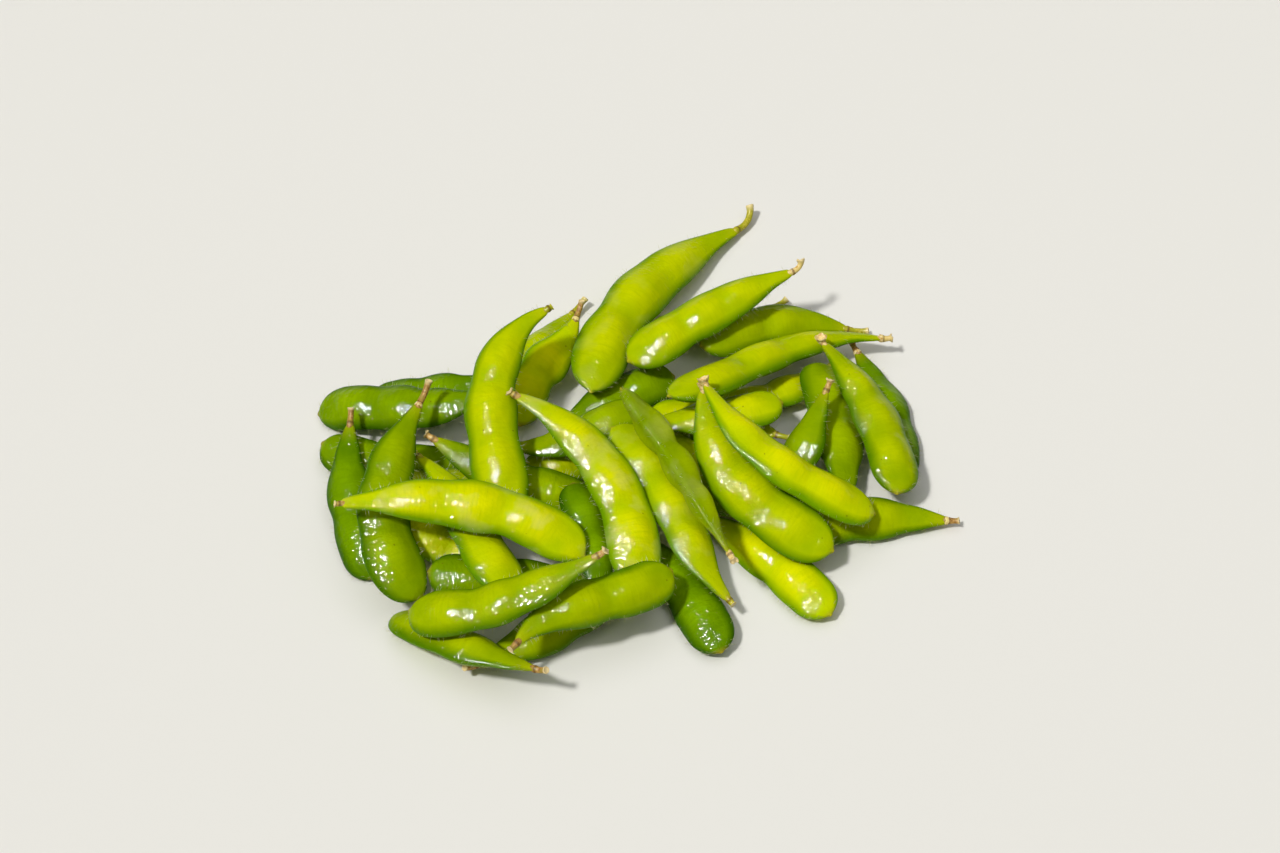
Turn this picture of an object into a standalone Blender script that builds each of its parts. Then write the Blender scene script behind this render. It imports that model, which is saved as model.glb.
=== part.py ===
"""A heap of boiled edamame pods, laid one on another as they came out of the pot.

Each pod, with the short stalk it was cut off with, is one node. The pods are laid in the order of the
table LAID: every row says which sort of pod it is, where its middle goes, which way its tip points and
how far it curves. How high it lies and how it tips are not in the table: each pod sinks until it rests
on the pods already there, or on the ground.
"""

import bpy
import bmesh
import numpy as np

MM = 0.001

# ---- driving dimensions, millimetres and degrees ----
GAP = 0.35  # air left between two pods that touch
STALK_LENGTH = 5.5  # the cut stub at the end of the pod
STALK_RADIUS = 1.15
BEAK_LENGTH = 1.5  # the pinched point at the other end
NECK = 0.17  # half width where the stalk joins, as a share of the fullest half width
TAPER = 0.50  # the pod reaches its full width this far along
BLUNT = 0.82  # and begins to close here
VALLEY_WIDTH = 0.93  # width between two beans, as a share of the width over a bean
VALLEY_THICK = 0.74  # thickness between two beans, likewise
BEAN_SPREAD = 0.085  # half length of one bean's swelling, as a share of the pod
SIDES = 8  # corners of a section
CELL = 1.0  # grid of the ground on which the heap's height is kept
PITCH_MOST = 30.0  # how far a pod may tip along its length to find its rest
ROLL_MOST = 15.0  # and sideways

# ---- the sorts of pod: beans, length, width, thickness ----
SORTS = {
    "giant": (3, 90, 18.0, 9.5),
    "longest": (3, 78, 16.0, 9.0),
    "long": (3, 71, 16.0, 9.0),
    "full": (3, 63, 16.5, 9.0),
    "middle": (3, 56, 15.5, 9.0),
    "slim": (3, 62, 13.5, 9.0),
    "broad": (2, 52, 17.0, 9.5),
    "short": (2, 49, 14.5, 9.0),
    "small": (2, 39, 14.0, 8.5),
}

# Where the sections stand along a pod of three or two beans, and where its beans are.
STATIONS = {
    3: (0.0, 0.09, 0.19, 0.29, 0.41, 0.53, 0.65, 0.77, 0.88, 0.955),
    2: (0.0, 0.10, 0.22, 0.34, 0.46, 0.58, 0.70, 0.80, 0.89, 0.955),
}
BEANS = {3: (0.29, 0.53, 0.77), 2: (0.42, 0.73)}

# ---- the pods, in the order they are laid ----
# Name, sort, x and y of its middle, heading of its tip, how far it curves from end to end,
# how much more it curves at its ends than in its middle, and how it is rolled.
LAID = [
    # the lowest ones, flat on the ground at the back and in the middle
    ("pod_01", "small", 0, 64, -156, -20, -10, 0),
    ("pod_02", "small", -2, 52, -142, 20, 30, 0),
    ("pod_03", "small", 55, 52, 164, -75, -20, 0),
    ("pod_04", "small", 19, 38, 6, -20, 5, 0),
    ("pod_05", "small", 60, 20, 174, -75, -30, 0),
    ("pod_06", "small", 36, 18, 138, 20, -5, 0),
    ("pod_07", "short", 67, 40, 172, 40, -5, 0),
    # left back corner, one leaning on the other
    ("pod_08", "small", -35, 62, 154, -5, -5, 0),
    ("pod_09", "middle", -46, 59, 146, -15, 25, 0),
    ("pod_10", "short", -53, 45, 154, -65, 0, 0),
    ("pod_11", "short", -70, 31, -105, 30, 0, 0),
    ("pod_12", "short", -46, 27, 165, 20, 0, 0),
    ("pod_13", "small", -4, 21, 180, -15, 0, 0),
    # left side and front, flat on the ground
    ("pod_14", "small", -52, 9, -50, 20, 0, 0),
    ("pod_15", "short", -42, -9, 160, -20, 0, 0),
    ("pod_16", "short", -32, -27, 10, 20, 0, 0),
    ("pod_17", "short", 3, -34, -85, -20, 0, 0),
    ("pod_18", "short", 31, -37, -70, -20, 0, 0),
    ("pod_19", "short", 58, -32, 160, 20, 0, 0),
    ("pod_20", "short", -64, -22, 120, -20, 0, 0),
    # right side
    ("pod_21", "small", 27, 0, -80, -20, 0, 0),
    ("pod_22", "broad", 69, -1, 68, 15, -10, 0),
    ("pod_23", "short", 86, -5, -106, -35, -5, -20),
    # small ones that fill the middle
    ("pod_24", "small", 39, 12, -20, 20, 0, 0),
    ("pod_25", "short", -24, 17, -45, 20, 0, 0),
    ("pod_26", "small", -15, -9, 75, 20, 0, 0),
    ("pod_27", "small", 0, 24, -10, 40, -30, 0),
    ("pod_28", "middle", -45, 4, -86, -10, 20, 0),
    ("pod_29", "small", 51, -9, -160, -70, -30, 0),
    # the long ones at the back
    ("pod_30", "giant", 36, 63, -148, 45, 5, 0),
    ("pod_31", "middle", 47, 44, -178, 10, -5, 0),
    ("pod_32", "longest", 56, 24, -178, 40, -30, 0),
    # the top of the heap
    ("pod_33", "long", -25, 31, -126, 75, -25, 0),
    ("pod_34", "full", -64, 18, -114, 75, 15, 0),
    ("pod_35", "full", 10, -8, 96, 15, 30, 0),
    ("pod_36", "full", 33, -19, -78, 65, -10, 0),
    ("pod_37", "slim", 14, -4, 94, 50, 20, 75),
    ("pod_38", "long", -6, -3, -84, -75, 0, 0),
    ("pod_39", "short", -23, -34, 4, -15, 30, 40),
    ("pod_40", "long", -42, 3, -32, -50, -10, 0),
    ("pod_41", "middle", -52, -23, 160, -45, -10, 0),
    ("pod_42", "full", 44, -19, -60, 60, -5, 0),
    ("pod_43", "middle", 78, -10, -96, -40, -5, -30),
]


def spine(sort, bend, sway):
    """Points along the middle line of a pod, its direction there, and the half width and half thickness."""
    beans, length, width, thick = SORTS[sort]
    t = np.linspace(0, 1, 201)
    turn = np.radians(bend * (t - 0.5) + sway * (4 * (t - 0.5) ** 2 - 1 / 3))
    step = np.stack([np.cos(turn), np.sin(turn)], 1) * length / 200
    line = np.concatenate([[[0, 0]], np.cumsum((step[1:] + step[:-1]) / 2, 0)])
    swell = np.zeros_like(t)
    for middle in BEANS[beans]:
        swell = np.maximum(swell, np.exp(-(((t - middle) / BEAN_SPREAD) ** 2)))
    rise = NECK + (1 - NECK) * np.sin(np.pi / 2 * np.clip(t / TAPER, 0, 1)) ** 1.15
    fall = np.sqrt(np.clip(1 - np.clip((t - BLUNT) / (1 - BLUNT), 0, 1) ** 2, 0, 1))
    full = rise * fall
    across = width / 2 * full * (VALLEY_WIDTH + (1 - VALLEY_WIDTH) * swell)
    through = thick / 2 * full**0.8 * (VALLEY_THICK + (1 - VALLEY_THICK) * swell)
    weight = across * through
    line = line - (line * weight[:, None]).sum(0) / weight.sum()
    return t, line, turn, across, through


def sections(sort, bend, sway):
    """The sections of one pod lying flat, from the cut of its stalk to its beak, both ends a single point."""
    t, line, turn, across, through = spine(sort, bend, sway)
    rows = []
    aim = np.array([np.cos(turn[0]), np.sin(turn[0])])
    for back, radius in ((STALK_LENGTH, 1.1), (STALK_LENGTH * 0.55, 0.92), (1.3, 1.1)):
        rows.append((line[0] - back * aim, turn[0], radius * STALK_RADIUS, radius * STALK_RADIUS))
    for s in STATIONS[SORTS[sort][0]]:
        middle = np.array([np.interp(s, t, line[:, 0]), np.interp(s, t, line[:, 1])])
        size = (np.interp(s, t, across), np.interp(s, t, through))
        rows.append((middle, np.interp(s, t, turn), *size))
    corner = np.arange(SIDES) * 2 * np.pi / SIDES
    rings = []
    for middle, heading, half_width, half_thick in rows:
        side = np.array([-np.sin(heading), np.cos(heading)])
        ring = np.zeros((SIDES, 3))
        ring[:, :2] = middle + np.outer(np.cos(corner) * half_width, side)
        ring[:, 2] = np.sin(corner) * half_thick
        rings.append(ring)
    start = np.array([*(rows[0][0] - 0.5 * aim), 0.0])
    tip_aim = np.array([np.cos(turn[-1]), np.sin(turn[-1])])
    tip = np.array([*(line[-1] + BEAK_LENGTH * tip_aim), 0.0])
    return start, np.array(rings), tip


def turned(heading, pitch, roll):
    """Rolled about its length, tipped so that the beak rises, then pointed to its heading."""
    h, p, r = np.radians([heading, pitch, roll])
    about_x = np.array([[1, 0, 0], [0, np.cos(r), -np.sin(r)], [0, np.sin(r), np.cos(r)]])
    about_y = np.array([[np.cos(p), 0, -np.sin(p)], [0, 1, 0], [np.sin(p), 0, np.cos(p)]])
    about_z = np.array([[np.cos(h), -np.sin(h), 0], [np.sin(h), np.cos(h), 0], [0, 0, 1]])
    return about_z @ about_y @ about_x


def skin_points(start, rings, tip, along, around):
    """Points spread evenly over the faces of a pod."""
    ends = [np.repeat(end[None, None], SIDES, 1) for end in (start, tip)]
    rows = np.concatenate([ends[0], rings, ends[1]])
    rows = np.concatenate([rows, rows[:, :1]], 1)
    found = [tip[None]]
    for here, there in zip(rows[:-1], rows[1:]):
        for k in range(along):
            row = here + (there - here) * (k / along)
            for g in range(around):
                found.append(row[:-1] + (row[1:] - row[:-1]) * (g / around))
    return np.concatenate(found)


class Heap:
    """How high the heap stands over each cell of the ground, in millimetres."""

    def __init__(self):
        self.top = np.zeros((400, 400))

    def cells(self, points):
        return ((points[:, :2] / CELL) + 200).astype(int).T

    def rest_height(self, points):
        under = self.top[tuple(self.cells(points))]
        return float((under + GAP * (under > 0) - points[:, 2]).max())

    def settle(self, coarse, fine, heading, roll, spot):
        """The height, tip and roll at which a pod lies lowest."""

        def height(points, pitch, lean):
            return self.rest_height(points @ turned(heading, pitch, lean).T + spot), pitch, lean

        pitches = np.arange(-PITCH_MOST, PITCH_MOST + 1, 5.0)
        leans = roll + np.linspace(-ROLL_MOST, ROLL_MOST, 4)
        best = min(height(coarse, pitch, lean) for pitch in pitches for lean in leans)
        for step in (2.5, 1.2, 0.6):
            near = [(best[1] + a, best[2] + b) for a in (-step, 0, step) for b in (-step, 0, step)]
            points = coarse if step > 2 else fine
            best = min(height(points, pitch, lean) for pitch, lean in near)
        return best

    def add(self, points):
        np.maximum.at(self.top, tuple(self.cells(points)), points[:, 2])


def lay_all():
    """Every pod of LAID where it comes to rest: name, start, rings and tip in millimetres."""
    heap = Heap()
    placed = []
    for name, sort, x, y, heading, bend, sway, roll in LAID:
        start, rings, tip = sections(sort, bend, sway)
        coarse = skin_points(start, rings, tip, 4, 3)
        fine = skin_points(start, rings, tip, 14, 10)
        spot = np.array([x, y, 0.0])
        height, pitch, lean = heap.settle(coarse, fine, heading, roll, spot)
        matrix = turned(heading, pitch, lean).T
        spot[2] = height
        heap.add(fine @ matrix + spot)
        placed.append((name, start @ matrix + spot, rings @ matrix + spot, tip @ matrix + spot))
    return placed


def build(name, start, rings, tip, centre):
    """One closed mesh: a fan at each end and quads between the sections."""
    form = bmesh.new()
    first = form.verts.new((start - centre) * MM)
    last = form.verts.new((tip - centre) * MM)
    loops = [[form.verts.new((corner - centre) * MM) for corner in ring] for ring in rings]
    for j in range(SIDES):
        k = (j + 1) % SIDES
        form.faces.new((first, loops[0][j], loops[0][k]))
        form.faces.new((last, loops[-1][k], loops[-1][j]))
        for here, there in zip(loops[:-1], loops[1:]):
            form.faces.new((here[j], there[j], there[k], here[k]))
    bmesh.ops.recalc_face_normals(form, faces=form.faces)
    mesh = bpy.data.meshes.new(name)
    form.to_mesh(mesh)
    form.free()
    pod = bpy.data.objects.new(name, mesh)
    bpy.context.scene.collection.objects.link(pod)
    mesh.materials.append(skin_material(name))
    return pod


def skin_material(name):
    material = bpy.data.materials.new(name + "_skin")
    material.use_nodes = True
    shader = material.node_tree.nodes["Principled BSDF"]
    shader.inputs["Base Color"].default_value = (0.30, 0.46, 0.03, 1.0)
    shader.inputs["Roughness"].default_value = 0.32
    return material


def clear_scene():
    for thing in list(bpy.data.objects):
        bpy.data.objects.remove(thing, do_unlink=True)


def main():
    clear_scene()
    placed = lay_all()
    every = np.concatenate([rings.reshape(-1, 3) for _, _, rings, _ in placed]
                           + [np.array([start, tip]) for _, start, _, tip in placed])
    low, high = every.min(0), every.max(0)
    centre = np.array([(low[0] + high[0]) / 2, (low[1] + high[1]) / 2, 0.0])
    for name, start, rings, tip in placed:
        build(name, start, rings, tip, centre)
    print("heap", np.round(high - low, 1), "centre", np.round(centre, 2))


main()
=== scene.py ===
# %% [markdown]
# # A heap of boiled edamame pods
# The heap comes from the CAD model as 43 plain eight-sided pods. They say where each pod lies, how
# long and thick it is and how it curves, and this script gives every one of them its real look. A
# straight pod is modelled once by hand, then a copy is bent along each CAD pod and swells over its
# beans. Its wet, wrinkled skin comes next, then the stalks, the dry flower cups and the fine down
# along the seams, and last the table and the light.

# %% Load the fixed frame
import math
import random

import bmesh
import bpy
import numpy as np
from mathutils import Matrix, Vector, noise


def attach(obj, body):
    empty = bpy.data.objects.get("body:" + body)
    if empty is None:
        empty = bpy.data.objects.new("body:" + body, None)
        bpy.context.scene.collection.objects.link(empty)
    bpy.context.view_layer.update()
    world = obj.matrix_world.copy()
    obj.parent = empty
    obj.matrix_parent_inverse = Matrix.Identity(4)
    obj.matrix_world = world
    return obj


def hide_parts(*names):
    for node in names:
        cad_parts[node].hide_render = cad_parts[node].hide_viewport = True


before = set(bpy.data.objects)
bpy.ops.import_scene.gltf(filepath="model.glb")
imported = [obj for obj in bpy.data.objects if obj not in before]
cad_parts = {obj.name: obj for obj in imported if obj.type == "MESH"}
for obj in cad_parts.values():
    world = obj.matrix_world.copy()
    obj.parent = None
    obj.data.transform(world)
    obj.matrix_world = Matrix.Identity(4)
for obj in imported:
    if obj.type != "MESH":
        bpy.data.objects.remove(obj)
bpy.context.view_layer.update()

MM = 0.001  # a millimetre in metres, Blender's unit
pods = sorted(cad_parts)

# %% [markdown]
# ## Camera
# The heap is seen from the front, a little from the left and from well above. A wide lens close by
# would make the near pods look bigger than the far ones, so a longish lens stands most of a metre
# away. The camera could be placed by its coordinates, but two angles, a distance and a point to aim
# at are easier to judge and to change.

# %% Place the camera
AZIMUTH = -28.71  # degrees, as are the next two
ELEVATION = 51.74
ROLL = 2.57
DISTANCE = 0.7754  # metres
LENS = 75.55  # millimetres, on a sensor 36 mm wide
AIM = Vector((0.0029, 0.0007, 0.020))  # a point in the middle of the heap


def facing(azimuth, elevation):
    """The direction from the heap towards a viewer. Azimuth 0 stands in front, at -Y."""
    a = math.radians(azimuth)
    e = math.radians(elevation)
    return Vector((math.sin(a) * math.cos(e), -math.cos(a) * math.cos(e), math.sin(e)))


towards = facing(AZIMUTH, ELEVATION)
camera = bpy.data.objects.new("camera", bpy.data.cameras.new("camera"))
bpy.context.scene.collection.objects.link(camera)
camera.location = AIM + DISTANCE * towards
camera.rotation_euler = towards.to_track_quat("Z", "Y").to_euler()
camera.rotation_euler.rotate_axis("Z", math.radians(ROLL))
camera.data.lens = LENS
camera.data.clip_start = 0.01
bpy.context.scene.camera = camera
print("camera", round(DISTANCE, 3), "m away, lens", LENS, "mm")

# %% [markdown]
# ## Reading a CAD pod
# A CAD pod is a point, three thin rings of stalk, ten rings of pod and a last point. Its curve
# could be typed in here a second time, but what is read from the CAD pod can't drift away from it.
# Walking over the edges from one end gives the rings in order. Each ring has a centre, a wide axis
# that runs from seam to seam, and a thickness through the beans. That is all a bent copy needs.

# %% Rings of a CAD pod
STALK_RINGS = 3
SAME_PLACE = 1e-6  # metres; corners closer than this are one


def rings_of(node):
    """The corners of each ring, from the cut stalk to the beak."""
    form = bmesh.new()
    form.from_mesh(node.data)
    bmesh.ops.remove_doubles(form, verts=form.verts, dist=SAME_PLACE)
    # Only from one of the two end points does the walk give equal rings and end on one corner.
    for start in sorted(form.verts, key=lambda v: -len(v.link_edges)):
        seen = {start}
        rings = [[start]]
        while rings[-1]:
            around = [e.other_vert(v) for v in rings[-1] for e in v.link_edges]
            rings.append([v for v in dict.fromkeys(around) if v not in seen])
            seen.update(rings[-1])
        rings.pop()
        if len(rings[-1]) == 1 and len({len(ring) for ring in rings[1:-1]}) == 1:
            break
    found = [np.array([v.co[:] for v in ring]) for ring in rings]
    form.free()
    spread = [np.ptp(ring, axis=0).max() for ring in (found[1], found[-2])]
    return found if spread[0] < spread[1] else found[::-1]


def measured(ring):
    """The wide axis of a ring, its half width and its half thickness."""
    loose = ring - ring.mean(0)
    wide, narrow = np.linalg.svd(loose)[2][:2]
    return wide, np.abs(loose @ wide).max(), np.abs(loose @ narrow).max()


# %% Where each CAD pod lies
THREE_BEANS = 0.0535  # metres; a longer pod has three beans, any other has two


class Pod:
    """Where a CAD pod lies: its spine, its axes along the spine, its length, width and thickness."""

    def __init__(self, name):
        rings = rings_of(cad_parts[name])
        body = rings[1 + STALK_RINGS:-1]
        centres = [ring.mean(0) for ring in body] + [rings[-1][0]]
        wides = []
        narrows = []
        half_widths = []
        half_thicks = []
        for ring, here, there in zip(body, centres, centres[1:]):
            wide, half_width, half_thick = measured(ring)
            if wides and wide @ wides[-1] < 0:
                wide = -wide
            narrow = np.cross(wide, there - here)
            wides.append(wide)
            narrows.append(narrow / np.linalg.norm(narrow))
            half_widths.append(half_width)
            half_thicks.append(half_thick)
        if narrows[len(narrows) // 2][2] < 0:
            wides = [-wide for wide in wides]
            narrows = [-narrow for narrow in narrows]
        self.centres = np.array(centres)
        self.wides = np.array(wides + wides[-1:])
        self.narrows = np.array(narrows + narrows[-1:])
        self.half_width = max(half_widths)
        self.half_thick = max(half_thicks)
        steps = np.linalg.norm(np.diff(self.centres, axis=0), axis=1)
        self.along = np.concatenate([[0], np.cumsum(steps)])
        self.length = self.along[-1]
        self.beans = 3 if self.length > THREE_BEANS else 2

    def at(self, where):
        """Points of the spine and both axes there, on a smooth curve through the rings."""
        rows = np.concatenate([self.centres, self.wides, self.narrows], 1)
        slope = np.gradient(rows, self.along, axis=0)
        k = np.clip(np.searchsorted(self.along, where) - 1, 0, len(self.along) - 2)
        gap = (self.along[k + 1] - self.along[k])[:, None]
        u = (where - self.along[k])[:, None] / gap
        found = ((2 * u**3 - 3 * u**2 + 1) * rows[k] + (u**3 - 2 * u**2 + u) * gap * slope[k]
                 + (3 * u**2 - 2 * u**3) * rows[k + 1] + (u**3 - u**2) * gap * slope[k + 1])
        centre, wide, narrow = np.split(found, 3, axis=1)
        wide /= np.linalg.norm(wide, axis=1, keepdims=True)
        narrow /= np.linalg.norm(narrow, axis=1, keepdims=True)
        return centre, wide, narrow


laid = {name: Pod(name) for name in pods}
for name in (pods[0], pods[-1]):
    pod = laid[name]
    size = [round(pod.length / MM, 1), round(2 * pod.half_width / MM, 1)]
    print(name, "is", size[0], "mm long and", size[1], "mm wide")

# %% [markdown]
# ## Working by hand, in code
# Every operator acts on what is selected, so three small helpers keep that in order. One leaves
# nothing selected, one picks edges by the place of their corners, and one applies a modifier.

# %% Helpers for modelling
def deselect_all():
    for thing in bpy.context.selected_objects:
        thing.select_set(False)


def pick(obj, wanted):
    """In edit mode, selects the edges whose two corners both pass the test."""
    bpy.ops.mesh.select_all(action="DESELECT")
    form = bmesh.from_edit_mesh(obj.data)
    for edge in form.edges:
        if all(wanted(corner.co) for corner in edge.verts):
            edge.select = True
    bmesh.update_edit_mesh(obj.data)


def apply_modifier(obj, kind, **settings):
    deselect_all()
    obj.select_set(True)
    bpy.context.view_layer.objects.active = obj
    modifier = obj.modifiers.new(kind.lower(), kind)
    for name, value in settings.items():
        setattr(modifier, name, value)
    bpy.ops.object.modifier_apply(modifier=modifier.name)


# %% [markdown]
# ## The straight pod
# A pod is two halves joined along two seams. It narrows to a neck at the stalk, is fullest beyond
# its middle and closes bluntly, with a pinched beak. A stretched ball would have the right length
# but neither neck nor seams. So the pod is drawn out of a flat ring, station by station, as one
# would pull it by hand: extrude, then scale to the pod's width there. The two seams are then
# bevelled, so that they get corners of their own, and pulled out into a fine ridge.

# %% Model the straight pod once
LENGTH = 60.0  # millimetres, as are the next three
HALF_WIDTH = 8.0
HALF_THICK = 4.5
BEAK = 0.9
NECK = 0.17  # how wide the neck is, as a share of the full width
TAPER = 0.50  # up to here the pod widens, as a share of its length
BLUNT = 0.84  # from here on it closes
NARROWEST = 0.05  # no ring is drawn narrower than this share
SHELL = 0.66  # thickness of the empty shell between two beans, as a share
SEAM = 0.50  # half width of a seam, in millimetres
RIDGE = 0.18  # how far it stands out, in millimetres
COLUMNS = 16  # corners round the pod
STATIONS = 25  # rings along it
ROUNDING = [0.965, 0.988, 0.9985]  # where the last rings lie, to round off the blunt end


def fullness(t):
    """How much of its full width a pod has at t, from 0 at the neck to 1 at the blunt end."""
    rise = NECK + (1 - NECK) * np.sin(np.pi / 2 * np.clip(t / TAPER, 0, 1)) ** 1.15
    fall = np.sqrt(np.clip(1 - np.clip((t - BLUNT) / (1 - BLUNT), 0, 1) ** 2, 0, 1))
    return rise * fall


def straight_pod():
    deselect_all()
    bpy.ops.mesh.primitive_circle_add(vertices=COLUMNS, radius=MM, fill_type="NGON",
                                      calc_uvs=False, rotation=(math.radians(90), 0, 0))
    pod = bpy.context.object
    pod.name = "straight_pod"
    bpy.ops.object.transform_apply(location=False, rotation=True, scale=True)
    bpy.ops.object.mode_set(mode="EDIT")
    stops = 1 - (1 - np.linspace(0, 1, STATIONS)) ** 1.12
    stops = np.concatenate([stops[:-2], ROUNDING])
    full = np.maximum(fullness(stops), NARROWEST)
    widths = HALF_WIDTH * full
    thicks = HALF_THICK * full**0.8 * SHELL
    at = 0.0
    wide = 1.0
    thick = 1.0
    for stop, new_wide, new_thick in zip(stops, widths, thicks):
        if stop > 0:
            bpy.ops.mesh.extrude_region_move(
                TRANSFORM_OT_translate={"value": (0, (stop * LENGTH - at) * MM, 0)})
        at = stop * LENGTH
        bpy.ops.transform.resize(value=(new_wide / wide, 1, new_thick / thick),
                                 center_override=(0, at * MM, 0))
        wide = new_wide
        thick = new_thick
    bpy.ops.mesh.extrude_region_move(TRANSFORM_OT_translate={"value": (0, 0.8 * BEAK * MM, 0)})
    bpy.ops.transform.resize(value=(0.35, 1, 0.35), center_override=(0, at * MM, 0))
    bpy.ops.mesh.select_all(action="SELECT")
    bpy.ops.mesh.normals_make_consistent(inside=False)
    pick(pod, lambda co: abs(co.z) < SAME_PLACE)
    bpy.ops.mesh.bevel(offset=SEAM * MM, segments=2, profile=0.5, affect="EDGES")
    pick(pod, lambda co: abs(co.z) < SAME_PLACE)
    bpy.ops.transform.shrink_fatten(value=RIDGE * MM)
    bpy.ops.object.mode_set(mode="OBJECT")
    apply_modifier(pod, "SUBSURF", levels=2, render_levels=2)
    return pod


def corners_of(form):
    """The corners of a finished form, in millimetres."""
    return np.array([corner.co[:] for corner in form.data.vertices]) / MM


pod_form = straight_pod()
# Rounded to 0.1 micrometre, so that the ridges lie at exactly 0 and every run gives the same pods.
straight = corners_of(pod_form).round(4)
print("straight pod", len(straight), "corners")

# %% [markdown]
# ## Beans under the skin
# A boiled skin clings to its beans: it swells over each one, and the outline draws in between two.
# Every pod could be sculpted on its own. Here the height of each corner is worked out from where
# this pod's beans lie, so that 43 pods differ without 43 sculptures. The outline of each side
# wavers on its own, and low dents run over the whole skin.

# %% Outline and beans
BEANS = {3: (0.29, 0.53, 0.77), 2: (0.42, 0.73)}  # where they lie, as shares of the pod
BEAN_HALF_LENGTH = {3: 0.108, 2: 0.145}  # as a share of the pod's length
BEAN_HALF_WIDTH = 0.74  # as a share of the pod's width
WIDENING = (-0.02, 0.05)  # how far the outline goes out beside a bean, least and most
WAIST = (0.03, 0.15)  # how far it draws in between beans and before the first, least and most


def noise_at(points, seed):
    """One smooth random number from -1 to 1 for each point, in steps about one unit apart."""
    away = Vector((seed * 17.3, seed * 5.1, seed * 29.7))
    return np.array([noise.noise(Vector(p) + away) for p in points])


def hill(t, middle, reach):
    """1 at its middle, and about a third of that at its reach on either side."""
    return np.exp(-(((t - middle) / reach) ** 2))


def outline_of(pod, seed, dice, t, side):
    """How wide each side of the pod is at t, near 1. The side is -1 or 1."""
    outline = 1 + 0.03 * noise_at(np.stack([4.5 * t, 0.6 * side, 0 * t], 1), seed + 0.37)
    middles = BEANS[pod.beans]
    for middle in middles:
        outline += dice.uniform(*WIDENING) * hill(t, middle, 0.1)
    for waist in (middles[0] - 0.17, *np.add(middles[:-1], middles[1:]) / 2):
        for this_side in (-1, 1):
            outline -= dice.uniform(*WAIST) * hill(t, waist, 0.07) * (side == this_side)
    return outline


def beans_of(pod, dice, t, x, wide, full):
    """How much of each corner is bean: 0 between two beans, up to about 1 over one."""
    swellings = np.zeros_like(t)
    order = np.argsort(t)
    for middle in BEANS[pod.beans]:
        middle += dice.uniform(-0.012, 0.012)
        half = BEAN_HALF_LENGTH[pod.beans] * dice.uniform(0.92, 1.1)
        reach = np.interp(middle, t[order], full[order])
        across = BEAN_HALF_WIDTH * HALF_WIDTH * wide * reach * dice.uniform(0.94, 1.04)
        lean = dice.uniform(-0.05, 0.05) * HALF_WIDTH
        away = ((t - middle) / half) ** 2 + ((x - lean) / across) ** 2
        swellings += np.exp(-1.1 * away**1.4) ** 3 * dice.uniform(0.5, 1.1)
    return swellings ** (1 / 3)


# %% Swell a pod over its beans
SWELL = 0.76  # how much thicker a pod is over a bean
CLEAR = 0.97  # the skin takes this share of the CAD pod's width
DENT_LENGTH = 7  # millimetres between two dents along the pod
DENT_WIDTH = 6  # and across it
DENT_DEPTH = 0.22  # millimetres
FINE = 2.7  # how much closer together the fine dents lie
FINE_DEPTH = 0.09  # millimetres


def swollen(pod, seed):
    """The straight pod with this pod's size, beans and dents, in millimetres, and how much of each
    corner is bean."""
    dice = random.Random(seed)
    x, y, z = straight.T
    t = y / LENGTH
    full = np.maximum(fullness(t), NARROWEST)
    wide = pod.half_width / MM / HALF_WIDTH * CLEAR
    thick = pod.half_thick / MM / HALF_THICK
    size = pod.length / MM
    x = x * wide * outline_of(pod, seed, dice, t, np.sign(x))
    bean = beans_of(pod, dice, t, x, wide, full)
    # The empty shell is thinner at the neck than beyond the first bean.
    shell = np.abs(z) * thick * (0.78 + 0.14 * np.clip((t - 0.1) / 0.3, 0, 1) ** 2)
    height = shell * (1 + SWELL * bean)
    # Dents fade out at the seams and where the pod is narrow.
    inside = np.clip(1 - np.abs(x) / (HALF_WIDTH * wide * full), 0, 1)
    places = np.stack([y * size / LENGTH / DENT_LENGTH, x / DENT_WIDTH, np.sign(z)], 1)
    dents = (DENT_DEPTH * noise_at(places, seed)
             + FINE_DEPTH * noise_at(places * FINE, seed + 0.5))
    height = height + dents * np.clip(2.5 * inside, 0, 1) * np.clip(full * 1.4, 0, 1)
    z = np.sign(z) * np.maximum(height, 0)
    return np.stack([x, y * size / (LENGTH + BEAK), z], 1), bean


first_skin = swollen(laid[pods[0]], 1)[0]
print(pods[0], "swells to", round(2 * first_skin[:, 2].max(), 1), "mm over its beans")

# %% [markdown]
# ## Bending a copy onto each pod
# A Curve modifier could bend the pods, but it would need 43 curves and turn them by its own rules.
# Here every corner of a copy is carried over by itself: its distance along the pod gives a point
# on the CAD pod's spine and two axes there, and its other two distances are laid off along them.
# The distance along the pod and round it is kept as a UV map in metres, for the wrinkles. Four
# numbers at each corner tell the skin's colours where a bean, a seam, the neck and the beak are.

# %% Carry corners onto a CAD pod
LOWEST = 0.05 * MM  # nothing goes below this, so that nothing sinks into the table


def bent(pod, points):
    """Points of a straight pod, in millimetres, carried onto the CAD pod's spine, in metres."""
    centre, wide, narrow = pod.at(points[:, 1] * MM)
    return centre + wide * points[:, :1] * MM + narrow * points[:, 2:] * MM


def add_numbers(mesh, name, values):
    """One number for each corner of the mesh, which a material reads by its name."""
    numbers = mesh.attributes.new(name, "FLOAT", "POINT")
    numbers.data.foreach_set("value", values.astype(np.float32))


def copy_of(form, name):
    piece = bpy.data.objects.new(name, form.data.copy())
    bpy.context.scene.collection.objects.link(piece)
    return piece


def place_corners(piece, points):
    """Sets the corners of a piece, in metres, none below the table, and shades it smooth."""
    points[:, 2] = np.maximum(points[:, 2], LOWEST)
    piece.data.vertices.foreach_set("co", points.astype(np.float32).ravel())
    piece.data.polygons.foreach_set("use_smooth", np.ones(len(piece.data.polygons), bool))
    piece.data.update()


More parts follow.
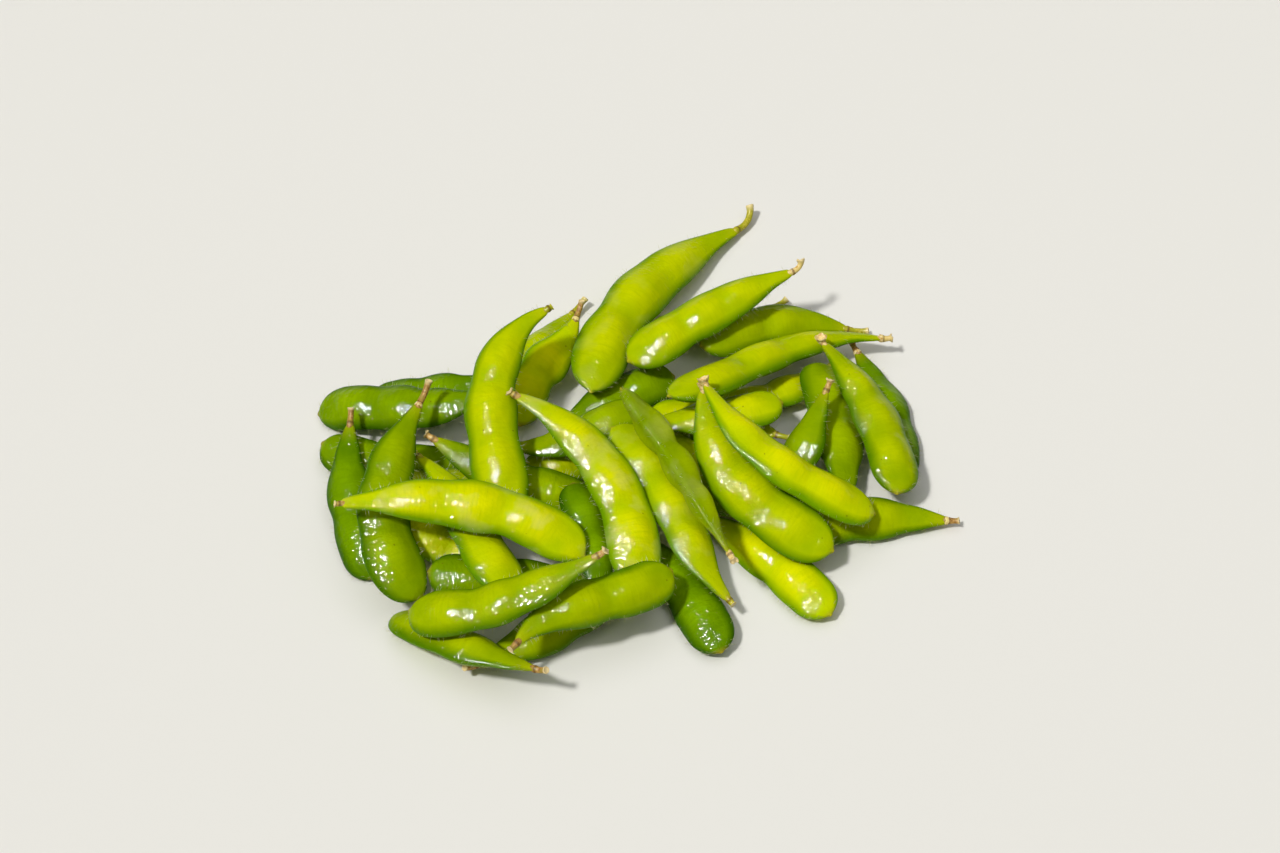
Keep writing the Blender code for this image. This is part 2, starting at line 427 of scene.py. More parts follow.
# %% Give every pod its skin
SEAM_GREEN_AND_SHADE = {"37": 0.35}  # how strongly a seam is painted deep green, partly as painted shade, where not 1: this pod turns its whole olive seam up
APART = 100  # millimetres between two pods on the UV map, so that no two share their wrinkles
NECK_LENGTH = 6  # millimetres of yellow at the neck
BEAK_LENGTH = 1.6  # and at the beak

full = np.maximum(fullness(straight[:, 1] / LENGTH), NARROWEST)
across = np.abs(straight[:, 0]) / (HALF_WIDTH * full)
# How far a corner lies towards a seam: the outer part of each side is painted deeper green, partly
# the hull's own green at its seams and partly painted shade where the pod curves away.
edge = np.clip((across - 0.58) / 0.42, 0, 1)
skins = {}
for number, name in enumerate(pods):
    pod = laid[name]
    skin = copy_of(pod_form, "skin_" + name[-2:])
    points, bean = swollen(pod, number + 1)
    place_corners(skin, bent(pod, points))
    from_neck = points[:, 1]
    from_beak = pod.length / MM - from_neck
    add_numbers(skin.data, "bean", bean)
    add_numbers(skin.data, "rim", edge * SEAM_GREEN_AND_SHADE.get(name[-2:], 1.0))
    add_numbers(skin.data, "neck", 0.45 * np.clip(1 - from_neck / NECK_LENGTH, 0, 1))
    add_numbers(skin.data, "beak", 0.8 * np.clip(1 - from_beak / BEAK_LENGTH, 0, 1))
    rise = np.abs(points[:, 2])
    around = points[:, 0] + 0.6 * (rise.max() - rise) * np.sign(points[:, 0])
    flat = np.stack([from_neck + APART * number, around], 1) * MM
    corners = np.empty(len(skin.data.loops), np.int32)
    skin.data.loops.foreach_get("vertex_index", corners)
    uv = skin.data.uv_layers.new(name="along")
    uv.data.foreach_set("uv", flat[corners].astype(np.float32).ravel())
    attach(skin, "root")
    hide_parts(name)
    skins[name] = skin
bpy.data.objects.remove(pod_form)
print(len(skins), "skins of", len(skin.data.polygons), "faces each")

# %% [markdown]
# ## Materials: how they are made
# Colours are written as sRGB hex values, which is how one reads them off a real thing, and one
# function turns them into the linear numbers that light is reckoned with. One helper adds a node
# with its settings and its inputs. The scale of every pattern is worked out from millimetres.

# %% Helpers for materials
SHARE, UNDER, OVER = 0, 6, 7  # inputs of a colour mix: how much of the colour over the one under
RGBA = {"out": 2, "data_type": "RGBA"}  # settings and output of a colour mix


def colour(hex_code):
    """An sRGB hex colour as the linear numbers that a shader takes."""
    parts = [int(hex_code[i:i + 2], 16) / 255 for i in (1, 3, 5)]
    return [p / 12.92 if p <= 0.04045 else ((p + 0.055) / 1.055) ** 2.4 for p in parts] + [1.0]


def put(tree, kind, inputs, out=0, **settings):
    """Adds a node and gives back an output. Each input is a value, or an output to link."""
    node = tree.nodes.new("ShaderNode" + kind)
    for name, value in settings.items():
        setattr(node, name, value)
    for name, value in inputs.items():
        if isinstance(value, bpy.types.NodeSocket):
            tree.links.new(value, node.inputs[name])
        else:
            node.inputs[name].default_value = value
    return node.outputs[out]


def every(size):
    """The scale of a noise whose features are this many millimetres apart."""
    return 1 / (size * MM)


def new_material(name):
    material = bpy.data.materials.new(name)
    material.use_nodes = True
    tree = material.node_tree
    return material, tree, tree.nodes["Principled BSDF"]


print("a mid green is", [round(part, 3) for part in colour("#577C00")], "in linear numbers")

# %% [markdown]
# ## Colours of a boiled soybean hull
# A pod's skin is a thin, waxy, translucent hull. It is yellow-green where a bean lies under it and
# stays deeper green along the seams, and it yellows at the neck and the beak, where it is thin. The
# yellow over the beans and the green towards the seams are both made stronger than the hull's own,
# as painted light on the swellings and painted shade where the pod curves away. One material could
# be made for each of a dozen greens. Here one serves all pods, and three numbers set a pod apart:
# how ripe it is, with painted light and shade for where it lies, how scuffed, and how far its hull
# has shrunk.

# %% Colours of the hull
def hull_colour(tree, here, along, clouds):
    """The colour of the hull, from its ripeness, with painted light and shade, and from where a
    point lies on the pod.
    """
    ripe_and_painted_light, bean, rim, neck, beak, scuffed = [
        put(tree, "Attribute", {}, "Fac", attribute_name=name)
        for name in ("ripe_and_painted_light", "bean", "rim", "neck", "beak", "scuffed")]
    # The ripeness number also holds painted light and shade, so the deep end of each green is darker
    # than an unripe hull alone.
    bean_and_lit_green = put(tree, "Mix", {SHARE: ripe_and_painted_light, UNDER: colour("#7DA200"), OVER: colour("#DCDE00")},
                 **RGBA)
    middle = put(tree, "Mix", {SHARE: ripe_and_painted_light, UNDER: colour("#577C00"), OVER: colour("#B3C800")},
                 **RGBA)
    seam_and_shaded_green = put(tree, "Mix", {SHARE: ripe_and_painted_light, UNDER: colour("#2A5400"), OVER: colour("#5B8C00")},
               **RGBA)
    # Brightest over a bean: partly the hull's own yellow over it, partly painted light on the
    # swelling, with painted shade in the valleys between. Clouds a few millimetres wide break that
    # up.
    bean_yellow_and_painted_light = put(tree, "MapRange", {"Value": clouds, "From Min": 0.3, "From Max": 0.7,
                                  "To Min": -0.1, "To Max": 0.5})
    bean_yellow_and_painted_light = put(tree, "Math", {0: bean, 1: 0.7, 2: bean_yellow_and_painted_light}, operation="MULTIPLY_ADD")
    skin = put(tree, "Mix", {SHARE: bean_yellow_and_painted_light, UNDER: middle, OVER: bean_and_lit_green}, **RGBA)
    # Fine veins cross the hull at a slant, about 0.8 mm apart.
    slant = put(tree, "Mapping", {"Vector": along, "Rotation": (0, 0, math.radians(24)),
                                  "Scale": (every(0.8), every(7), 1)})
    veins = put(tree, "TexNoise", {"Vector": slant, "Scale": 1.0})
    veins = put(tree, "MapRange", {"Value": veins, "From Min": 0.45, "From Max": 0.75,
                                   "To Max": 0.38})
    skin = put(tree, "Mix", {SHARE: veins, UNDER: skin, OVER: middle}, **RGBA)
    # The seams are deeper green, unevenly so, and the band reaching far onto each side is painted
    # shade where the pod curves away from the light.
    seam = put(tree, "Math", {0: clouds, 1: 0.8, 2: rim}, operation="MULTIPLY_ADD")
    seam = put(tree, "MapRange", {"Value": seam, "From Min": 0.5, "From Max": 1.3, "To Max": 0.9})
    skin = put(tree, "Mix", {SHARE: seam, UNDER: skin, OVER: seam_and_shaded_green}, **RGBA)
    # Pale scuffs where a pod rubbed against others.
    scuffs = put(tree, "TexNoise", {"Vector": here, "Scale": every(9), "Detail": 3.0})
    scuffs = put(tree, "MapRange", {"Value": scuffs, "From Min": 0.52, "From Max": 0.72})
    scuffs = put(tree, "Math", {0: scuffs, 1: scuffed}, operation="MULTIPLY")
    skin = put(tree, "Mix", {SHARE: scuffs, UNDER: skin, OVER: colour("#D2CB84")}, **RGBA)
    # A dark speck of about 0.4 mm here and there.
    specks = put(tree, "TexVoronoi", {"Vector": here, "Scale": every(5.5)})
    specks = put(tree, "MapRange", {"Value": specks, "From Min": 0.035, "From Max": 0.055,
                                    "To Min": 0.55, "To Max": 0.0})
    skin = put(tree, "Mix", {SHARE: specks, UNDER: skin, OVER: colour("#5A4A12")}, **RGBA)
    # Towards the neck and at the beak the hull is thin and yellow.
    skin = put(tree, "Mix", {SHARE: neck, UNDER: skin, OVER: colour("#BDBB10")}, **RGBA)
    return put(tree, "Mix", {SHARE: beak, UNDER: skin, OVER: colour("#B59A30")}, **RGBA)


# %% [markdown]
# ## Wrinkles, grain and water
# Boiling shrinks the hull over its beans, so fine wrinkles run across the pod, and a grain finer
# than those covers all of it. Both are too small to model on 43 pods, so they are bumps in the
# material. The hull itself hardly mirrors: what shines is the film of water over it, the coat. Its
# bumps are deeper than the hull's own, and break every reflection of the lamp into small glints.

# %% Relief of the hull
CREASE = 1.3  # millimetres between two wrinkles
CREASE_LENGTH = 3.2  # and how long one is
GRAIN = 1.1  # the real grain is nearer 0.4 mm; at 1.1 mm it shows from most of a metre away


def hull_relief(tree, here, along, clouds):
    """The wrinkles and the grain of the hull, both from 0 to about 1."""
    across = put(tree, "Mapping", {"Vector": along,
                                   "Scale": (every(CREASE), every(CREASE_LENGTH), 1)})
    creases = put(tree, "TexNoise", {"Vector": across, "Scale": 1.0, "Detail": 1.0,
                                     "Distortion": 0.4})
    # Wrinkles come in patches, and are deeper all over a hull that has shrunk.
    shrunk = put(tree, "Attribute", {}, "Fac", attribute_name="shrunk")
    patches = put(tree, "MapRange", {"Value": clouds, "From Min": 0.4, "From Max": 0.62,
                                     "To Min": 0.4})
    patches = put(tree, "Math", {0: shrunk, 1: 1.5, 2: patches}, operation="MULTIPLY_ADD")
    wrinkles = put(tree, "Math", {0: creases, 1: patches}, operation="MULTIPLY")
    grain = put(tree, "TexNoise", {"Vector": here, "Scale": every(GRAIN), "Detail": 1.0})
    return wrinkles, grain


# %% The skin's material
# The surface, how deep its wrinkles are and how deep its grain, in millimetres.
DEPTHS = (("Normal", 0.13, 0.06), ("Coat Normal", 0.55, 0.22))


def pod_skin():
    """Boiled soybean hull: waxy, lit from a millimetre or two inside, and wet from the pot."""
    material, tree, shader = new_material("boiled_soybean_hull")
    here = put(tree, "TexCoord", {}, "Object")
    along = put(tree, "TexCoord", {}, "UV")
    clouds = put(tree, "TexNoise", {"Vector": here, "Scale": every(8), "Detail": 3.0})
    tree.links.new(hull_colour(tree, here, along, clouds), shader.inputs["Base Color"])
    wrinkles, grain = hull_relief(tree, here, along, clouds)
    for surface, wrinkle_depth, grain_depth in DEPTHS:
        share = wrinkle_depth / grain_depth
        height = put(tree, "Math", {0: wrinkles, 1: share, 2: grain}, operation="MULTIPLY_ADD")
        bump = put(tree, "Bump", {"Height": height, "Distance": grain_depth * MM})
        tree.links.new(bump, shader.inputs[surface])
    flecks = put(tree, "TexNoise", {"Vector": here, "Scale": every(1.5), "Detail": 3.0})
    rough = put(tree, "MapRange", {"Value": flecks, "From Min": 0.3, "From Max": 0.7,
                                   "To Min": 0.26, "To Max": 0.42})
    tree.links.new(rough, shader.inputs["Roughness"])
    shader.inputs["IOR"].default_value = 1.42  # plant wax
    shader.inputs["Specular IOR Level"].default_value = 0.006  # the water over it takes its shine
    shader.inputs["Coat Weight"].default_value = 0.35
    shader.inputs["Coat Roughness"].default_value = 0.03
    shader.inputs["Coat IOR"].default_value = 1.33  # water
    shader.inputs["Subsurface Weight"].default_value = 0.18
    shader.inputs["Subsurface Radius"].default_value = (1.0, 1.0, 0.25)  # blue goes in least
    shader.inputs["Subsurface Scale"].default_value = 1.5 * MM
    return material


hull = pod_skin()
print("the hull's material has", len(hull.node_tree.nodes), "nodes")

# %% Ripe, scuffed and shrunk pods
# Ripeness, from deep green to yellow-green, and the pods that have it. The values were matched to
# how bright each pod looks where it lies, so they also hold painted light and shade: the deepest
# group is darker partly as painted shade, and 02 and 18 are lighter partly as painted light.
RIPENESS_AND_PAINTED_LIGHT = {
    0.0: "08 11 17 23 26",
    0.1: "04 09 10 15",
    0.25: "22 25 29 34",
    0.35: "27 37",
    0.45: "01 03 07 12 16 19 20 39 41",
    0.5: "43",
    0.6: "13 21",
    0.68: "30 31 32 33 36",
    0.8: "05 06 24 28 35",
    0.9: "14 38",
    1.0: "02 18 40 42",
}
SCUFFED = {"30": 0.1, "35": 0.15, "37": 0.15, "38": 0.3, "40": 0.3}  # 0 for all others
SHRUNK = {"13": 0.8, "14": 1.0, "17": 0.5, "25": 0.6}  # 0 for all others
ripe_and_lit_of = {number: ripe_and_painted_light for ripe_and_painted_light, numbers in RIPENESS_AND_PAINTED_LIGHT.items() for number in numbers.split()}
for name, skin in skins.items():
    number = name[-2:]
    same = np.ones(len(skin.data.vertices))
    add_numbers(skin.data, "ripe_and_painted_light", same * ripe_and_lit_of[number])
    add_numbers(skin.data, "scuffed", same * SCUFFED.get(number, 0.0))
    add_numbers(skin.data, "shrunk", same * SHRUNK.get(number, 0.0))
    skin.data.materials.clear()
    skin.data.materials.append(hull)
print(len(ripe_and_lit_of), "pods from", min(RIPENESS_AND_PAINTED_LIGHT), "to", max(RIPENESS_AND_PAINTED_LIGHT), "ripe_and_painted_light")

# %% [markdown]
# ## Stalks and flower cups
# A pod hangs on a short stalk, with a swollen joint where the two meet. On some pods what is left
# of the flower's cup still sits there, a pale, frayed rag. A stalk could be a cone or a bevelled
# curve, but then it would have neither joint nor cut end. Both are modelled once, straight, and
# every pod gets copies that are bent, stretched and crumpled on their own.

# %% Rings, pulled out step by step
def ring_at(corners, radius, at, filled):
    """A new ring across Y, in edit mode, with its radius and its place in millimetres."""
    deselect_all()
    bpy.ops.mesh.primitive_circle_add(vertices=corners, radius=radius * MM,
                                      location=(0, at * MM, 0), rotation=(math.radians(90), 0, 0),
                                      fill_type="NGON" if filled else "NOTHING", calc_uvs=False)
    bpy.ops.object.transform_apply(location=True, rotation=True, scale=True)
    bpy.ops.object.mode_set(mode="EDIT")
    return bpy.context.object


def pull(steps, radius, at):
    """Extrudes what is selected along Y through (place, radius) steps, in millimetres."""
    for new_at, new_radius in steps:
        step = (0, (new_at - at) * MM, 0)
        bpy.ops.mesh.extrude_region_move(TRANSFORM_OT_translate={"value": step})
        share = new_radius / radius
        bpy.ops.transform.resize(value=(share, 1, share), center_override=(0, new_at * MM, 0))
        at = new_at
        radius = new_radius


def close_up():
    """Turns all faces outwards and leaves edit mode."""
    bpy.ops.mesh.select_all(action="SELECT")
    bpy.ops.mesh.normals_make_consistent(inside=False)
    bpy.ops.object.mode_set(mode="OBJECT")


# %% Model the stalk once
STALK_LONG = 6.0  # millimetres from the pod to the cut end
ROOT = (-1.6, 0.9)  # where the stalk starts, inside the pod, and its radius there, in millimetres
JOINT = [(-0.4, 1.0), (0.1, 1.12), (0.45, 1.1), (0.75, 0.98)]
STEM = [(2.0, 0.88), (3.6, 0.84), (5.0, 0.92), (STALK_LONG - 0.25, 1.15)]
CUT = [(STALK_LONG, 1.1), (STALK_LONG, 0.8), (STALK_LONG - 0.35, 0.7)]  # its middle is sunken


def straight_stalk():
    root_at, root_radius = ROOT
    stalk = ring_at(10, root_radius, root_at, True)
    pull(JOINT + STEM + CUT, root_radius, root_at)
    close_up()
    apply_modifier(stalk, "SUBSURF", levels=1, render_levels=1)
    at = corners_of(stalk)[:, 1]
    add_numbers(stalk.data, "joint", 0.7 * np.clip(1.6 - np.abs(at - 0.35) / 0.35, 0, 1))
    add_numbers(stalk.data, "cut", 0.8 * np.clip((at - STALK_LONG + 1.2) / 0.9, 0, 1))
    return stalk


stalk_form = straight_stalk()
print("stalk", len(stalk_form.data.polygons), "faces")

# %% Model the flower cup once
CUP_FOOT = (0.9, 1.2)  # where the cup sits on the stalk, and its radius there, in millimetres
CUP_TOP = 1.3  # how far its rim reaches over the pod
CUP_TEETH = 1.3  # how much further every second corner of the rim reaches, as a torn tooth
CUP_WALL = 0.22  # thickness
CUP_CORNERS = 10  # round its rim


def straight_cup():
    foot_at, foot_radius = CUP_FOOT
    cup = ring_at(CUP_CORNERS, foot_radius, foot_at, False)
    pull([(0.2, 1.5), (-0.6, 1.75), (-CUP_TOP, 2.0)], foot_radius, foot_at)
    bpy.ops.mesh.select_all(action="DESELECT")
    form = bmesh.from_edit_mesh(cup.data)
    for corner in form.verts:
        step = round(math.atan2(corner.co.x, corner.co.z) / (2 * math.pi / CUP_CORNERS))
        corner.select = corner.co.y < (0.05 - CUP_TOP) * MM and step % 2 == 0
    bmesh.update_edit_mesh(cup.data)
    bpy.ops.transform.translate(value=(0, -CUP_TEETH * MM, 0))
    bpy.ops.transform.resize(value=(1.15, 1, 1.15), center_override=(0, 0, 0))
    bpy.ops.object.mode_set(mode="OBJECT")
    apply_modifier(cup, "SOLIDIFY", thickness=CUP_WALL * MM, offset=0)
    bpy.ops.object.mode_set(mode="EDIT")
    close_up()
    apply_modifier(cup, "SUBSURF", levels=1, render_levels=1)
    return cup


cup_form = straight_cup()
print("cup", len(cup_form.data.polygons), "faces")

# %% [markdown]
# ## Colours of the stalks
# A stalk is plant fibre: olive while it is fresh, brown where it has dried, and torn ends are pale
# and frayed. Its joint is darkest. The cups are the same fibre, dry and bleached. So one function
# makes all five materials from three colours each. Fibre scatters light and hardly mirrors it.

# %% Stalk materials
def fibre(name, light, dark, green, rough):
    """Plant fibre: streaks, patches of green, dark at the joint and pale at its cut."""
    material, tree, shader = new_material(name)
    here = put(tree, "TexCoord", {}, "Object")
    joint = put(tree, "Attribute", {}, "Fac", attribute_name="joint")
    cut = put(tree, "Attribute", {}, "Fac", attribute_name="cut")
    streaks = put(tree, "TexNoise", {"Vector": here, "Scale": every(0.7), "Detail": 4.0})
    mixed = put(tree, "MapRange", {"Value": streaks, "From Min": 0.35, "From Max": 0.65})
    tone = put(tree, "Mix", {SHARE: mixed, UNDER: colour(dark), OVER: colour(light)}, **RGBA)
    patches = put(tree, "TexNoise", {"Vector": here, "Scale": every(2.2)})
    patches = put(tree, "MapRange", {"Value": patches, "From Min": 0.5, "From Max": 0.6})
    tone = put(tree, "Mix", {SHARE: patches, UNDER: tone, OVER: colour(green)}, **RGBA)
    tone = put(tree, "Mix", {SHARE: joint, UNDER: tone, OVER: colour("#5E3C14")}, **RGBA)
    tone = put(tree, "Mix", {SHARE: cut, UNDER: tone, OVER: colour("#EBD7A0")}, **RGBA)
    tree.links.new(tone, shader.inputs["Base Color"])
    bump = put(tree, "Bump", {"Height": streaks, "Distance": 0.1 * MM})
    tree.links.new(bump, shader.inputs["Normal"])
    shader.inputs["Roughness"].default_value = rough
    shader.inputs["Specular IOR Level"].default_value = 0.1
    return material


STALKS = {
    "olive": fibre("stalk_fresh_olive", "#C9BE3E", "#A19A1C", "#A3A61E", 0.35),
    "brown": fibre("stalk_dry_brown", "#CBA35A", "#8A5E26", "#A38A3A", 0.45),
    "tan": fibre("stalk_tan", "#DDBF78", "#B0813A", "#B9A445", 0.45),
    "cream": fibre("stalk_torn_cream", "#F6E3A2", "#C69A44", "#E2C877", 0.5),
}
cup_material = fibre("flower_cup_dry", "#F9E9B0", "#C79B48", "#E6D286", 0.5)
print("stalks are", ", ".join(STALKS))

# %% [markdown]
# The stalk of each pod is described by how long it is, how far it hooks upwards and turns to its
# left, its colour, and how big its flower cup still is. Chance could pick all of that, but the
# stalks in plain view catch the eye, so they are set one by one, and only the others take turns.

# %% How each stalk ends
# Number of the pod: length in mm, hook and turn in degrees, colour, and size of the cup. A size of
# 0 leaves the cup out, and below 0 it is turned round, so that it opens towards the stalk's tip.
ENDS = {
    "01": (7, 20, 0, "olive", 0),
    "02": (6, 45, 0, "brown", 0.5),
    "03": (6, 30, 0, "olive", 0),
    "05": (2, 0, 0, "olive", 0),
    "07": (7, 30, 0, "olive", 0),
    "11": (5, 30, 0, "brown", 0),
    "27": (3, 20, 0, "tan", 0.5),
    "28": (1.8, 0, 0, "olive", 0),
    "29": (3.5, 15, 0, "tan", 0),
    "30": (11, 60, 60, "olive", 0),
    "31": (5, 55, 60, "cream", 0),
    "32": (3, 10, 10, "cream", 0.5),
    "33": (1.5, 0, 0, "olive", 0),
    "34": (8, 50, 0, "brown", 0.5),
    "35": (2, 10, 0, "olive", 0),
    "36": (1.2, 20, 0, "cream", -0.75),
    "37": (2.5, 10, 0, "cream", 0),
    "38": (2.2, 20, 0, "tan", 0),
    "39": (3, 10, 0, "brown", 0),
    "40": (1.6, 5, 0, "tan", 0),
    "41": (3, 25, 0, "tan", 0),
    "42": (1.2, 40, 0, "cream", -0.8),
    "43": (1.5, 60, 0, "cream", -0.85),
}
OTHERS = [(3, 10, 0, "tan", 0), (5, 25, 0, "olive", 0), (3.5, 20, 0, "brown", 0.5),
          (4, 35, 0, "brown", 0)]
THICKNESS = {"30": 1.15, "36": 0.8, "40": 0.75, "42": 0.8, "43": 0.8}  # 1 for all others
print(len(ENDS), "stalks are set one by one")

# %% Bend a stalk upwards
LEAST_HOOK = 0.1  # degrees; a bend needs a direction, even on a straight stalk
ARC_STEPS = 60


def hooked(pod, points, length, hook, turn):
    """Carries points of the straight stalk, in millimetres, onto an arc that leaves the pod's neck
    and bends upwards by the hook and sideways by the turn."""
    aim = pod.centres[0] - pod.centres[1]
    aim /= np.linalg.norm(aim)
    side = np.cross(aim, (0, 0, 1))
    side /= np.linalg.norm(side)
    rise = np.cross(side, aim)
    hook = max(hook, LEAST_HOOK)
    lift = math.hypot(hook, turn)
    bend = (hook * rise - turn * side) / lift
    flat = np.cross(aim, bend)
    # How far ahead and how high the arc is after each step, and its angle there.
    steps = np.linspace(0, 1, ARC_STEPS)
    angles = math.radians(lift) * steps**1.5
    ahead = np.concatenate([[0], np.cumsum(np.cos(angles[1:]))]) * length / (ARC_STEPS - 1)
    above = np.concatenate([[0], np.cumsum(np.sin(angles[1:]))]) * length / (ARC_STEPS - 1)
    y = points[:, 1]
    angle = np.interp(y, steps * length, angles)
    # Before the arc and beyond it a stalk is straight.
    before = np.minimum(y, 0)
    beyond = np.maximum(y - length, 0)
    u = np.interp(y, steps * length, ahead) + before + beyond * np.cos(angle)
    v = np.interp(y, steps * length, above) + beyond * np.sin(angle)
    u = u - points[:, 2] * np.sin(angle)
    v = v + points[:, 2] * np.cos(angle)
    carried = np.outer(u, aim) + np.outer(v, bend) + np.outer(points[:, 0], flat)
    return pod.centres[0] + carried * MM


def finished(piece, material):
    piece.data.materials.clear()
    piece.data.materials.append(material)
    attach(piece, "root")


# %% Stalks and cups on their pods
COLLAR = 0.8  # millimetres of the stalk that keep their length, whatever the stalk's
KNOBS = 1.1  # millimetres between two knobs on a stalk
CRUMPLE = 0.8  # and between two folds in a cup


def stalk_corners(slim, length, torn_end, seed):
    """The corners of a stalk, stretched, knobbly and frayed at its end, in millimetres."""
    points = corners_of(stalk_form) * (slim, 1, slim)
    torn = np.clip((points[:, 1] - STALK_LONG + 1.5) / 1.5, 0, 1) * torn_end
    beyond = np.maximum(points[:, 1] - COLLAR, 0)
    points[:, 1] += beyond * ((length - COLLAR) / (STALK_LONG - COLLAR) - 1)
    points[:, [0, 2]] *= (1 + 0.25 * torn)[:, None]
    points[:, 1] += 0.9 * torn * noise_at(points * (1.1, 0, 1.1), seed + 0.8)
    points[:, 0] += (0.12 + 0.15 * torn) * noise_at(points / KNOBS, seed + 0.1)
    points[:, 2] += (0.12 + 0.15 * torn) * noise_at(points / KNOBS, seed + 0.6)
    return points


def cup_corners(slim, cup_size, seed):
    """The corners of a flower cup, crumpled most at its rim, in millimetres."""
    points = corners_of(cup_form)
    flare = np.clip(-points[:, 1] / CUP_TOP, 0, 2)
    outwards = cup_size < 0
    size = abs(cup_size)
    spread = slim * (0.45 + 0.5 * size) * (1 - 0.12 * flare + 0.3 * flare * outwards)
    points[:, [0, 2]] *= spread[:, None]
    points[:, 1] = 0.4 + (points[:, 1] - 0.4) * size
    if outwards:
        points[:, [0, 1]] *= -1
        points[:, 1] += COLLAR
    for axis in range(3):
        crumple = noise_at(points / CRUMPLE, seed + 0.2 + 0.3 * axis)
        points[:, axis] += 0.5 * size * np.clip(flare, 0.1, 1) * crumple
    return points


cups = []
for number, name in enumerate(pods):
    pod = laid[name]
    length, hook, turn, look, cup_size = ENDS.get(name[-2:], OTHERS[number % len(OTHERS)])
    slim = (0.8 + 0.25 * pod.half_width / (HALF_WIDTH * MM)) * THICKNESS.get(name[-2:], 1.0)
    stalk = copy_of(stalk_form, "stalk_" + name[-2:])
    points = stalk_corners(slim, length, look in ("cream", "tan"), number)
    place_corners(stalk, hooked(pod, points, length, hook, turn))
    finished(stalk, STALKS[look])
    if cup_size:
        cup = copy_of(cup_form, "cup_" + name[-2:])
        points = cup_corners(slim, cup_size, number)
        place_corners(cup, hooked(pod, points, length, hook, turn))
        finished(cup, cup_material)
        cups.append(cup)
for form in (stalk_form, cup_form):
    bpy.data.objects.remove(form)
print(len(pods), "stalks,", len(cups), "cups")

# %% [markdown]
# ## Down
# Short pale hairs stand along both seams. Blender's own hair system would draw them, but they have
# to be a mesh to leave this file. So a curved three-sided spike is drawn out once and copied, and
# all of a pod's hairs are one piece.

# %% Model the hair once
def straight_hair():
    """A spike 1 mm long and 0.09 mm thick at its root, that bends sideways as it goes."""
    hair = ring_at(3, 0.045, 0, True)
    pull([(0.55, 0.036)], 0.045, 0)
    bpy.ops.transform.translate(value=(0.08 * MM, 0, 0))
    pull([(1.0, 0.008)], 0.036, 0.55)
    bpy.ops.transform.translate(value=(0.16 * MM, 0, 0))
    close_up()
    return hair


def down_material():
    """Soybean down: pale, dry and slightly yellow."""
    material, tree, shader = new_material("down_pale")
    here = put(tree, "TexCoord", {}, "Object")
    tint = put(tree, "TexNoise", {"Vector": here, "Scale": every(3)})
    mixed = put(tree, "Mix", {SHARE: tint, UNDER: colour("#A8AC4E"), OVER: colour("#DCDBA6")},
                **RGBA)
    tree.links.new(mixed, shader.inputs["Base Color"])
    shader.inputs["Roughness"].default_value = 0.35
    return material


hair_form = straight_hair()
hair_corners = corners_of(hair_form) * MM
hair_faces = [list(face.vertices) for face in hair_form.data.polygons]
bpy.data.objects.remove(hair_form)
down = down_material()
print("hair", len(hair_faces), "faces")

# %% Hairs along the seams
HAIRS = 110  # on each pod
HAIR_LENGTH = (0.7, 2.1)  # millimetres, shortest and longest
HAIR_LEAN = 0.55  # how far a hair leans, as a share of its length
HAIR_ROOT = 0.1  # millimetres that a hair is set into the skin

x, y, z = straight.T
seam = np.nonzero((np.abs(z) < 1.3) & (y > 2) & (np.abs(x) > 1.2))[0]
# Sorted by side and then along the pod, because the order in which Blender lists the corners can
# change from run to run, and each hair is placed by its corner's number.
order = np.lexsort((z.round(2), x.round(2), y.round(1), x > 0))
seam = order[np.isin(order, seam)]
for number, name in enumerate(pods):
    pod = laid[name]
    dice = random.Random(1000 + number)
    skin_corners = corners_of(skins[name]) * MM
    spine = pod.at(straight[:, 1] * pod.length / (LENGTH + BEAK))[0]
    places = []
    faces = []
    for _ in range(HAIRS):
        k = seam[dice.randrange(len(seam))]
        out = skin_corners[k] - spine[k]
        out = Vector(out / np.linalg.norm(out))
        lean = Vector([dice.uniform(-HAIR_LEAN, HAIR_LEAN) for _ in range(3)])
        aim = (out + lean).normalized().to_track_quat("Y", "Z").to_matrix()
        long = dice.uniform(*HAIR_LENGTH)
        root = skin_corners[k] - np.array(out) * HAIR_ROOT * MM
        grown = (hair_corners * (1, long, 1)) @ np.array(aim).T + root
        grown[:, 2] = np.maximum(grown[:, 2], LOWEST)
        first = len(places) * len(hair_corners)
        faces += [[corner + first for corner in face] for face in hair_faces]
        places.append(grown)
    mesh = bpy.data.meshes.new("down_" + name[-2:])
    mesh.from_pydata(np.concatenate(places).tolist(), [], faces)
    mesh.polygons.foreach_set("use_smooth", np.ones(len(faces), bool))
    piece = bpy.data.objects.new("down_" + name[-2:], mesh)
    bpy.context.scene.collection.objects.link(piece)
    finished(piece, down)
print(HAIRS * len(pods), "hairs")

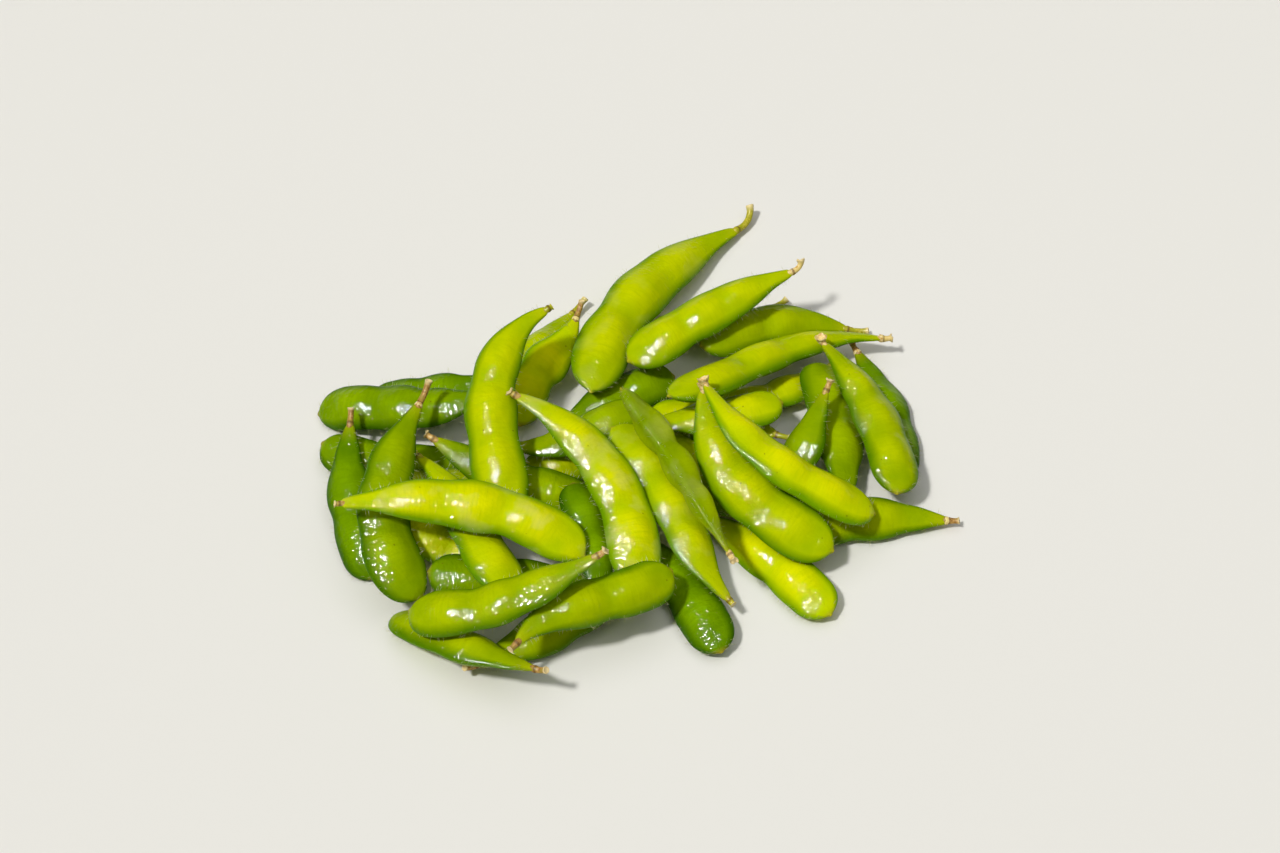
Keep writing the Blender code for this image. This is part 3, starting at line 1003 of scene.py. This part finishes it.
# %% [markdown]
# ## Table and light
# The heap lies on a plain pale table. One key light high on the left gives the shape its shadows,
# which fall to the right, with slightly soft edges. A lamp in the same direction is seen in
# reflections only: it draws the glints, so that their size and the shadows' softness can be set
# apart. A wide softbox overhead and a pale room fill the shade, and neither is mirrored, which
# keeps the greens deep.

# %% Table
deselect_all()
bpy.ops.mesh.primitive_plane_add(size=6)
floor = bpy.context.object
floor.name = "floor"
material, tree, shader = new_material("matt_table")  # matt laminate, which hardly mirrors
shader.inputs["Base Color"].default_value = colour("#E4E3DE")
shader.inputs["Roughness"].default_value = 0.9
shader.inputs["Specular IOR Level"].default_value = 0.03
floor.data.materials.append(material)
print("table", tuple(floor.dimensions), "m")

# %% Lamps
right = Vector((math.cos(math.radians(AZIMUTH)), math.sin(math.radians(AZIMUTH)), 0))
ahead = Vector((-math.sin(math.radians(AZIMUTH)), math.cos(math.radians(AZIMUTH)), 0))
up = Vector((0, 0, 1))
KEY = -0.386 * right - 0.318 * ahead + 0.866 * up  # the direction that the light comes from


def lamp(name, kind, direction, energy, distance=1.0, **settings):
    data = bpy.data.lights.new(name, kind)
    data.energy = energy
    for setting, value in settings.items():
        setattr(data, setting, value)
    light = bpy.data.objects.new(name, data)
    bpy.context.scene.collection.objects.link(light)
    direction = direction.normalized()
    light.location = AIM + direction * distance
    light.rotation_euler = direction.to_track_quat("Z", "Y").to_euler()
    return light


lamp("key", "SUN", KEY, 2.25, angle=math.radians(6), color=(1.0, 0.985, 0.95))
glint = lamp("glint", "AREA", KEY, 80.0, distance=1.2, size=0.3, color=(1.0, 0.98, 0.93))
glint.visible_diffuse = False
softbox = lamp("softbox", "AREA", up, 11.0, distance=1.5, size=2.0)
softbox.visible_glossy = False
print("the key light stands", round(math.degrees(math.asin(KEY.normalized().z))), "degrees high")

# %% Pale room
ROOM_LIGHT = 0.14

world = bpy.data.worlds.new("pale_room")
bpy.context.scene.world = world
world.use_nodes = True
room = world.node_tree.nodes["Background"]
room.inputs["Color"].default_value = colour("#F4F2EE")
room.inputs["Strength"].default_value = ROOM_LIGHT
world.cycles_visibility.glossy = False
bpy.context.scene.view_settings.view_transform = "Standard"
print("room light", ROOM_LIGHT)

# %% The end
print("the end")
